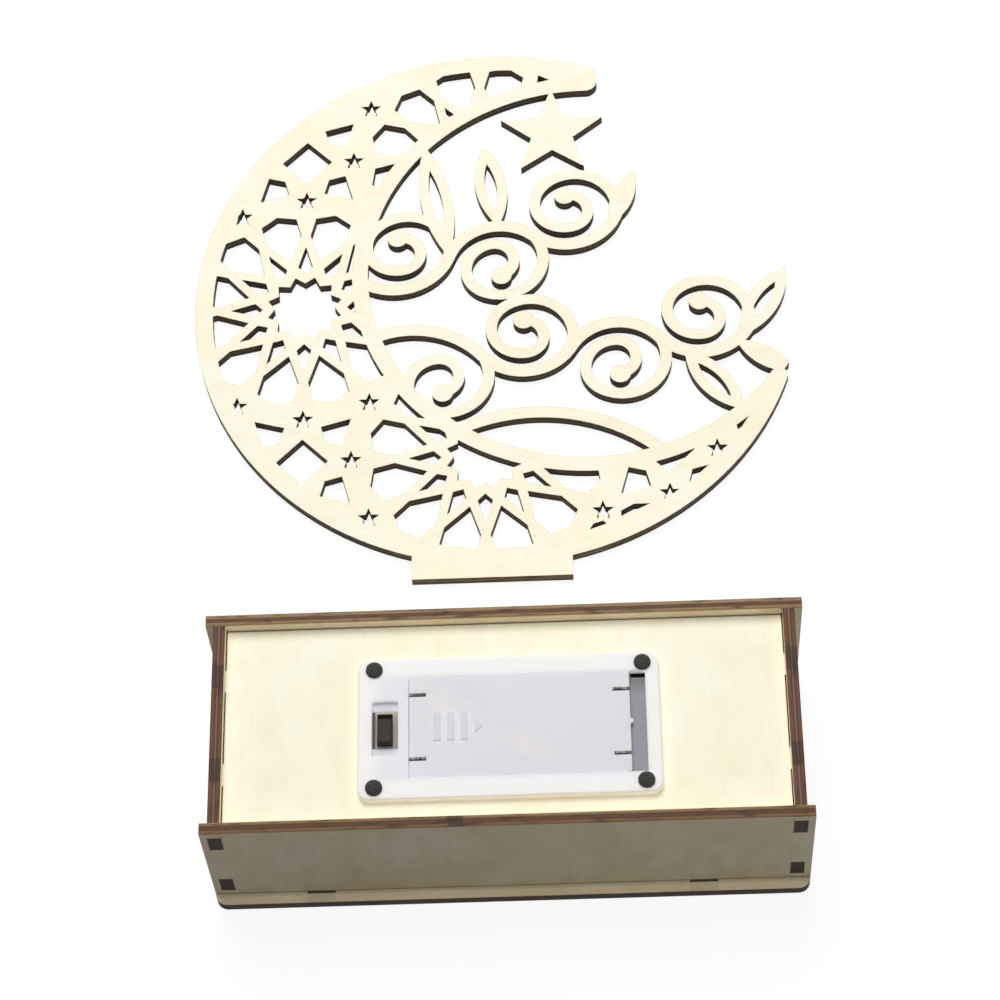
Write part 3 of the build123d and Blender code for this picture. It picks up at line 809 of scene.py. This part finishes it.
# Painted light: the door's front edge, the slit walls and the sides of the grip bars glow where they would
# lie in shade.
front_side = 1 - across.smooth(-door_half.y, gap_lip - door_half.y)
front_side = front_side * height.between(gap_depth, -gap_lip, 0.02)
bar_sides = upright(place) * height.smooth(0.0, gap_lip)
slit_glow = slit_walls * (slit_light + glint_light * painted_glints)
lit = front_light * front_side + slit_glow + bar_light * bar_sides
frosted(door_finish, milk, grit, lit)
assign("battery_door", door_finish)

# Slide switch: a bent can of plated steel over a phenolic base with three pins, and a black knob.
# It sits in a well of the case and is held by the wires soldered to it.

switch_low, switch_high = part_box("switch_shell")
can_half = (switch_high - switch_low) / 2 / mm
highlight_start = 1.6
highlight_end = 0.4
left_shade_width = 0.5
left_shade_soft = 0.4
can, place = finish("dull_nickel_can", middle=middle_of("switch_shell"))
lines = place.noise((1.2, 9.0, 9.0), 3.0)
# Painted highlight along the back strip of the can, and painted shade on its left edge.
back_painted_highlight = place.part(1).smooth(can_half.y - highlight_start, can_half.y - highlight_end)
left_shade_edge = left_shade_width - can_half.x
left_painted_shade = 1 - place.part(0).smooth(left_shade_edge, left_shade_edge + left_shade_soft)
nickel = (0.6 * lines).mix(tone(128, 122, 112), tone(102, 97, 88))
nickel = back_painted_highlight.mix(nickel, tone(142, 136, 120))
coat(can, {
    "Base Color": left_painted_shade.mix(nickel, tone(60, 56, 52)),
    "Roughness": 0.5 + 0.2 * lines,
    "Normal": lines.bump(0.006),
    "Metallic": 0.5,
})
assign("switch_shell", can)
assign("switch_terminals", contact_steel)

phenolic, place = finish("phenolic_base")
flow = place.noise((0.4, 3.0, 3.0), 4.0)
coat(phenolic, {
    "Base Color": flow.mix(tone(138, 88, 50), tone(108, 66, 36)),
    "Roughness": 0.55 + 0.1 * flow,
    "Normal": flow.bump(0.01),
})
assign("switch_base", phenolic)

knob_finish, place = finish("black_knob", middle=middle_of("switch_knob"))
fine = place.noise((3.0, 3.0, 3.0), 3.0)
coat(knob_finish, {
    "Base Color": (0.5 * fine).mix(tone(34, 32, 31), tone(48, 45, 43)),
    "Roughness": 0.55 + 0.2 * fine,
    "Normal": fine.bump(0.01),
    "Specular IOR Level": 0.25,
})
assign("switch_knob", knob_finish)

# Leads between the contacts, the switch and the lamp board.
# Stranded copper in PVC insulation, red for plus and black for minus, soldered at both ends.


def insulation(name, light, dark):
    """Soft vinyl with a slight sheen, a little uneven in colour."""
    material, place = finish(name)
    fine = place.noise((1.5, 1.5, 1.5), 3.0)
    coat(material, {
        "Base Color": (0.7 * fine).mix(light, dark),
        "Roughness": 0.38 + 0.14 * fine,
        "Normal": fine.bump(0.01),
    })
    return material


red_pvc = insulation("red_pvc", tone(196, 34, 30), tone(170, 24, 22))
black_pvc = insulation("black_pvc", tone(44, 43, 42), tone(32, 31, 31))
for node, material in (("jumper_lead", red_pvc), ("red_lead", red_pvc), ("black_lead", black_pvc)):
    assign(node, material)

# Table, light and camera. A white table under three soft lamps: the strong one above and behind,
# a weaker one overhead and a small one low at the right, so that the near wall lies in shade.

table_half = 4.0
table_low = -0.05 * mm
table_glow = 0.89
table_shade = 0.15
table_bounce = 0.21
form = bmesh.new()
corners = []
for x, y in ((-1, -1), (1, -1), (1, 1), (-1, 1)):
    corners.append(form.verts.new((x * table_half, y * table_half, table_low)))
form.faces.new(corners)
table = keep_form("table", form)


def grey(level):
    """A neutral colour, 0 to 1, already linear."""
    return (level, level, level, 1)


def seen(tree):
    """1 for what the camera sees, straight, in a reflection or through something clear."""
    start = Socket(tree)
    rays = [start.node("ShaderNodeLightPath", {}, {}, name)
            for name in ("Is Camera Ray", "Is Glossy Ray", "Is Transmission Ray")]
    return rays[0].either(rays[1]).either(rays[2])


table_white = bpy.data.materials.new("white_table")
table_white.use_nodes = True
tree = table_white.node_tree
tree.nodes.remove(tree.nodes["Principled BSDF"])
view = seen(tree)
glow = view.node("ShaderNodeEmission", {}, {"Color": grey(1), "Strength": table_glow})
shadowed = view.node("ShaderNodeBsdfDiffuse", {}, {"Color": grey(table_shade)})
shown = view.node("ShaderNodeAddShader", {}, {0: glow, 1: shadowed})
bounced = view.node("ShaderNodeBsdfDiffuse", {}, {"Color": grey(table_bounce)})
mixed = view.node("ShaderNodeMixShader", {}, {0: view, 1: bounced, 2: shown})
view.feed(tree.nodes["Material Output"], {"Surface": mixed})
table.data.materials.append(table_white)

sky_level = 0.1
world = bpy.data.worlds.new("studio")
world.use_nodes = True
tree = world.node_tree
view = seen(tree)
level = sky_level + (1 - sky_level) * view
view.feed(tree.nodes["Background"], {"Color": grey(1), "Strength": level})
bpy.context.scene.world = world

table_middle = Vector((0, 0.1, 0))
soft_lamps = (
    ("key_lamp", (-0.15, 0.75, 1.2), 1.1, 15.4),
    ("top_lamp", (0.1, -0.12, 1.4), 1.0, 4.5),
    ("side_lamp", (0.45, -0.25, 0.2), 0.2, 0.24),
)
for name, position, size, power in soft_lamps:
    lamp = bpy.data.lights.new(name, "AREA")
    lamp.shape = "DISK"
    lamp.size = size
    lamp.energy = power
    holder = bpy.data.objects.new(name, lamp)
    holder.location = position
    holder.rotation_euler = (table_middle - holder.location).to_track_quat("-Z", "Y").to_euler()
    bpy.context.scene.collection.objects.link(holder)

picture_width = 1000
focal_pixels = 3257.9
eye_elevation = math.radians(60.12)
eye_azimuth = math.radians(3.433)
eye_roll = math.radians(-4.887)
eye_distance = 839.09 * mm
aim_right = 2.848 * mm
aim_up = -72.677 * mm
back = Vector((
    math.cos(eye_elevation) * math.sin(eye_azimuth),
    -math.cos(eye_elevation) * math.cos(eye_azimuth),
    math.sin(eye_elevation),
))
level_right = Vector((0, 0, 1)).cross(back).normalized()
level_up = back.cross(level_right)
right = level_right * math.cos(eye_roll) + level_up * math.sin(eye_roll)
up = level_up * math.cos(eye_roll) - level_right * math.sin(eye_roll)
eye = back * eye_distance - right * aim_right - up * aim_up
camera = bpy.data.cameras.new("camera")
camera.sensor_width = 36.0
camera.lens = camera.sensor_width * focal_pixels / picture_width
camera_holder = bpy.data.objects.new("camera", camera)
camera_holder.matrix_world = Matrix.Translation(eye) @ Matrix((right, up, back)).transposed().to_4x4()
bpy.context.scene.collection.objects.link(camera_holder)
bpy.context.scene.camera = camera_holder

bpy.context.scene.view_settings.view_transform = "Standard"
